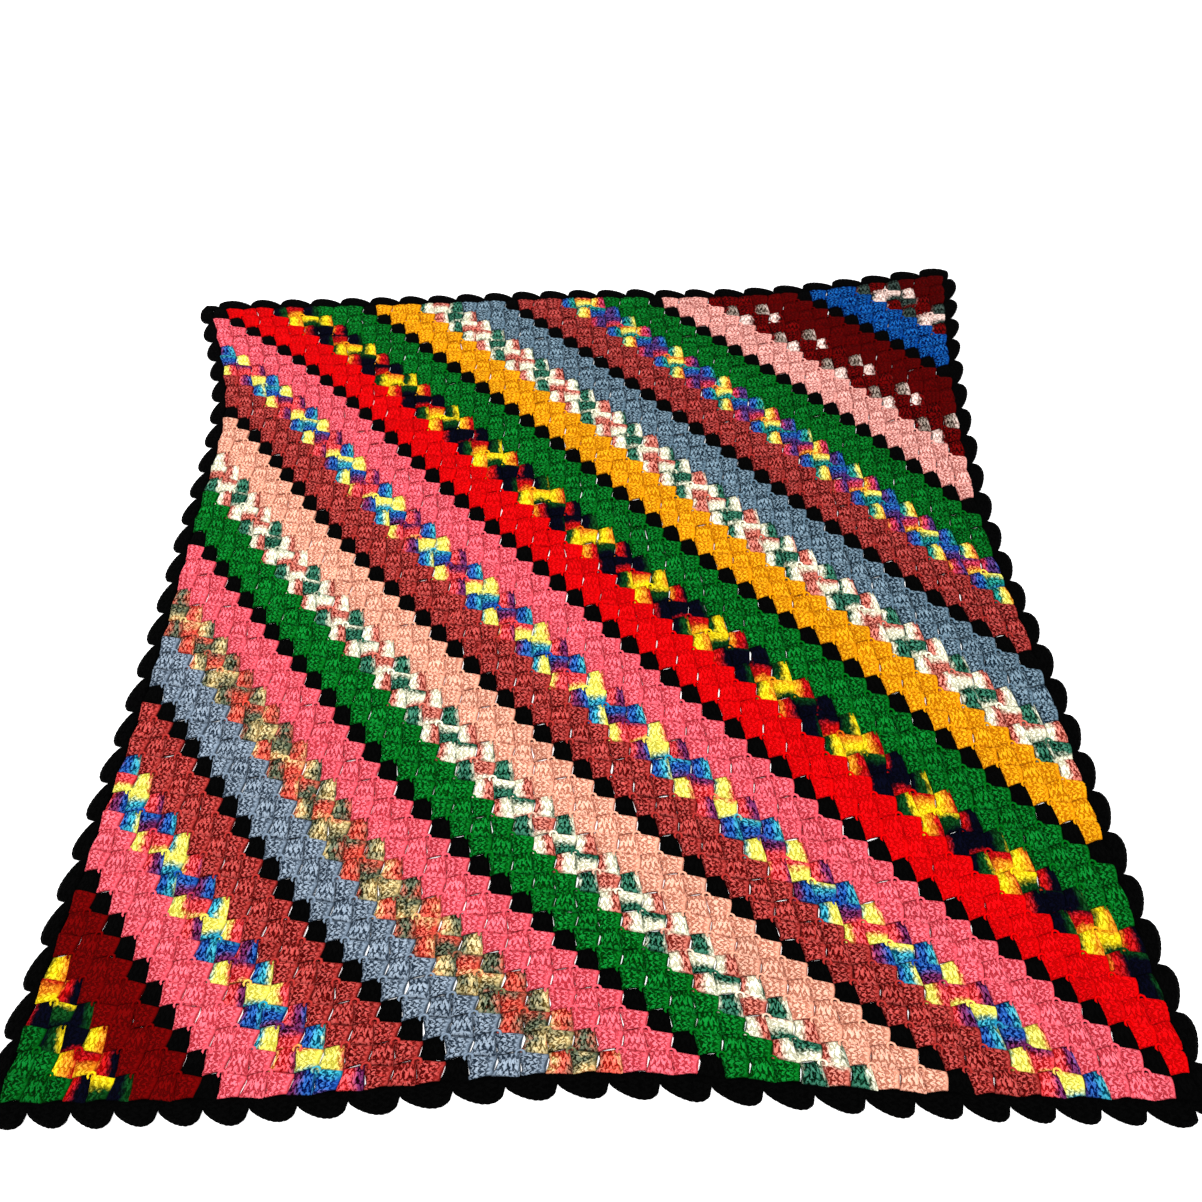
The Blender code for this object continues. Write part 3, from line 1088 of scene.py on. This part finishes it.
class AFGHAN_OT_stripes(bpy.types.Operator):
    """Make the field's stripes, each of its own diagonal rows of blocks and in its own yarn"""

    bl_idname = "afghan.stripes"
    bl_label = "Make stripes"

    def execute(self, context):
        scene = context.scene
        sizes, dyes, seed = scene.afghan_sizes, scene.afghan_dyes, scene.afghan_stage.seed
        for first, last, yarn, shade in STRIPES:
            if yarn in YARN_REPEATS:
                colour = variegated_dye(YARN_REPEATS[yarn], dyes)
            else:
                colour = plain_dye(getattr(dyes, yarn), shade)
            material = yarn_material(f"{yarn} yarn", colour, *PAINTED_LIGHT_BY_YARN.get(yarn, ()))
            column, row = blocks_between(first, last)
            rolls = [block_rolls(column, row, sizes, seed)]
            looped = ((column + row) % 2 == 0) & (row > 0) & (column < BLOCKS_A_SIDE - 1)
            if looped.any():
                rolls.append(loop_rolls(column[looped], row[looped], sizes))
            piece = make_piece(f"stripe_{first:02d}_{yarn}", rolls, material)
            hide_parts("field")
            finish_piece(piece)
        return {"FINISHED"}


class AFGHAN_OT_edging(bpy.types.Operator):
    """Make the black shell edging around the field"""

    bl_idname = "afghan.edging"
    bl_label = "Make edging"

    def execute(self, context):
        scene = context.scene
        sizes, dyes, seed = scene.afghan_sizes, scene.afghan_dyes, scene.afghan_stage.seed
        material = yarn_material("edging yarn", plain_dye(dyes.black, 1.0), *PAINTED_LIGHT_BY_YARN["black"])
        piece = make_piece("shells", [edging_roll(sizes, seed)], material)
        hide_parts("shell_edging")
        finish_piece(piece)
        return {"FINISHED"}


class AFGHAN_OT_stage(bpy.types.Operator):
    """Make the floor, the lights and the camera"""

    bl_idname = "afghan.stage"
    bl_label = "Make stage"

    def execute(self, context):
        stage = context.scene.afghan_stage
        make_floor(stage)
        make_lights(stage)
        make_camera(context.scene)
        context.scene.view_settings.view_transform = "Standard"
        return {"FINISHED"}


def make_floor(stage):
    """A plain pale floor."""
    corners = [(x * FLOOR_REACH, y * FLOOR_REACH, 0) for x, y in ((-1, -1), (1, -1), (1, 1), (-1, 1))]
    mesh = bpy.data.meshes.new("floor")
    mesh.from_pydata(corners, [], [(0, 1, 2, 3)])
    floor = bpy.data.objects.new("floor", mesh)
    bpy.context.scene.collection.objects.link(floor)
    material = bpy.data.materials.new("floor")
    material.use_nodes = True
    surface = material.node_tree.nodes["Principled BSDF"]
    surface.inputs["Base Color"].default_value = (*stage.floor, 1.0)
    surface.inputs["Roughness"].default_value = FLOOR_ROUGHNESS
    surface.inputs["Specular IOR Level"].default_value = 0.0
    mesh.materials.append(material)


def make_lights(stage):
    """Soft light from all round, a large lamp at the far left and one overhead on the near side."""
    world = bpy.data.worlds.new("studio")
    world.use_nodes = True
    background = world.node_tree.nodes["Background"]
    background.inputs["Color"].default_value = (1.0, 1.0, 1.0, 1.0)
    background.inputs["Strength"].default_value = stage.sky
    bpy.context.scene.world = world
    for name, size, place in LAMPS:
        lamp = bpy.data.lights.new(name, "AREA")
        lamp.energy = getattr(stage, name)
        lamp.size = size
        light = bpy.data.objects.new(name, lamp)
        light.location = place
        light.rotation_euler = (-Vector(place)).to_track_quat("-Z", "Y").to_euler()
        bpy.context.scene.collection.objects.link(light)


def make_camera(scene):
    """The camera at the height, aim and roll from which the photograph was taken."""
    eye = Vector(EYE)
    data = bpy.data.cameras.new("camera")
    data.sensor_width = SENSOR
    data.lens = LENS
    camera = bpy.data.objects.new("camera", data)
    level = (Vector(TARGET) - eye).to_track_quat("-Z", "Y").to_matrix().to_4x4()
    camera.matrix_world = Matrix.Translation(eye) @ level @ Matrix.Rotation(ROLL, 4, "Z")
    scene.collection.objects.link(camera)
    scene.camera = camera


class AFGHAN_PT_panel(bpy.types.Panel):
    """Lists the operators, sizes and colours."""

    bl_idname = "AFGHAN_PT_panel"
    bl_label = "Shell stitch afghan"
    bl_space_type = "VIEW_3D"
    bl_region_type = "UI"
    bl_category = "Afghan"

    def draw(self, context):
        for operator in OPERATORS:
            self.layout.operator(operator.bl_idname)
        for group in GROUPS:
            settings = getattr(context.scene, group)
            for setting in settings.bl_rna.properties:
                if setting.identifier not in ("rna_type", "name"):
                    self.layout.prop(settings, setting.identifier)


OPERATORS = (AFGHAN_OT_stripes, AFGHAN_OT_edging, AFGHAN_OT_stage)
GROUPS = {"afghan_sizes": AfghanSizes, "afghan_dyes": AfghanDyes, "afghan_stage": AfghanStage}


def register():
    for kept in (*GROUPS.values(), *OPERATORS, AFGHAN_PT_panel):
        bpy.utils.register_class(kept)
    for name, group in GROUPS.items():
        setattr(bpy.types.Scene, name, PointerProperty(type=group))


def unregister():
    for name in GROUPS:
        delattr(bpy.types.Scene, name)
    for kept in reversed((*GROUPS.values(), *OPERATORS, AFGHAN_PT_panel)):
        bpy.utils.unregister_class(kept)


def main():
    register()
    bpy.ops.afghan.stripes()
    bpy.ops.afghan.edging()
    bpy.ops.afghan.stage()


if __name__ == "__main__":
    main()
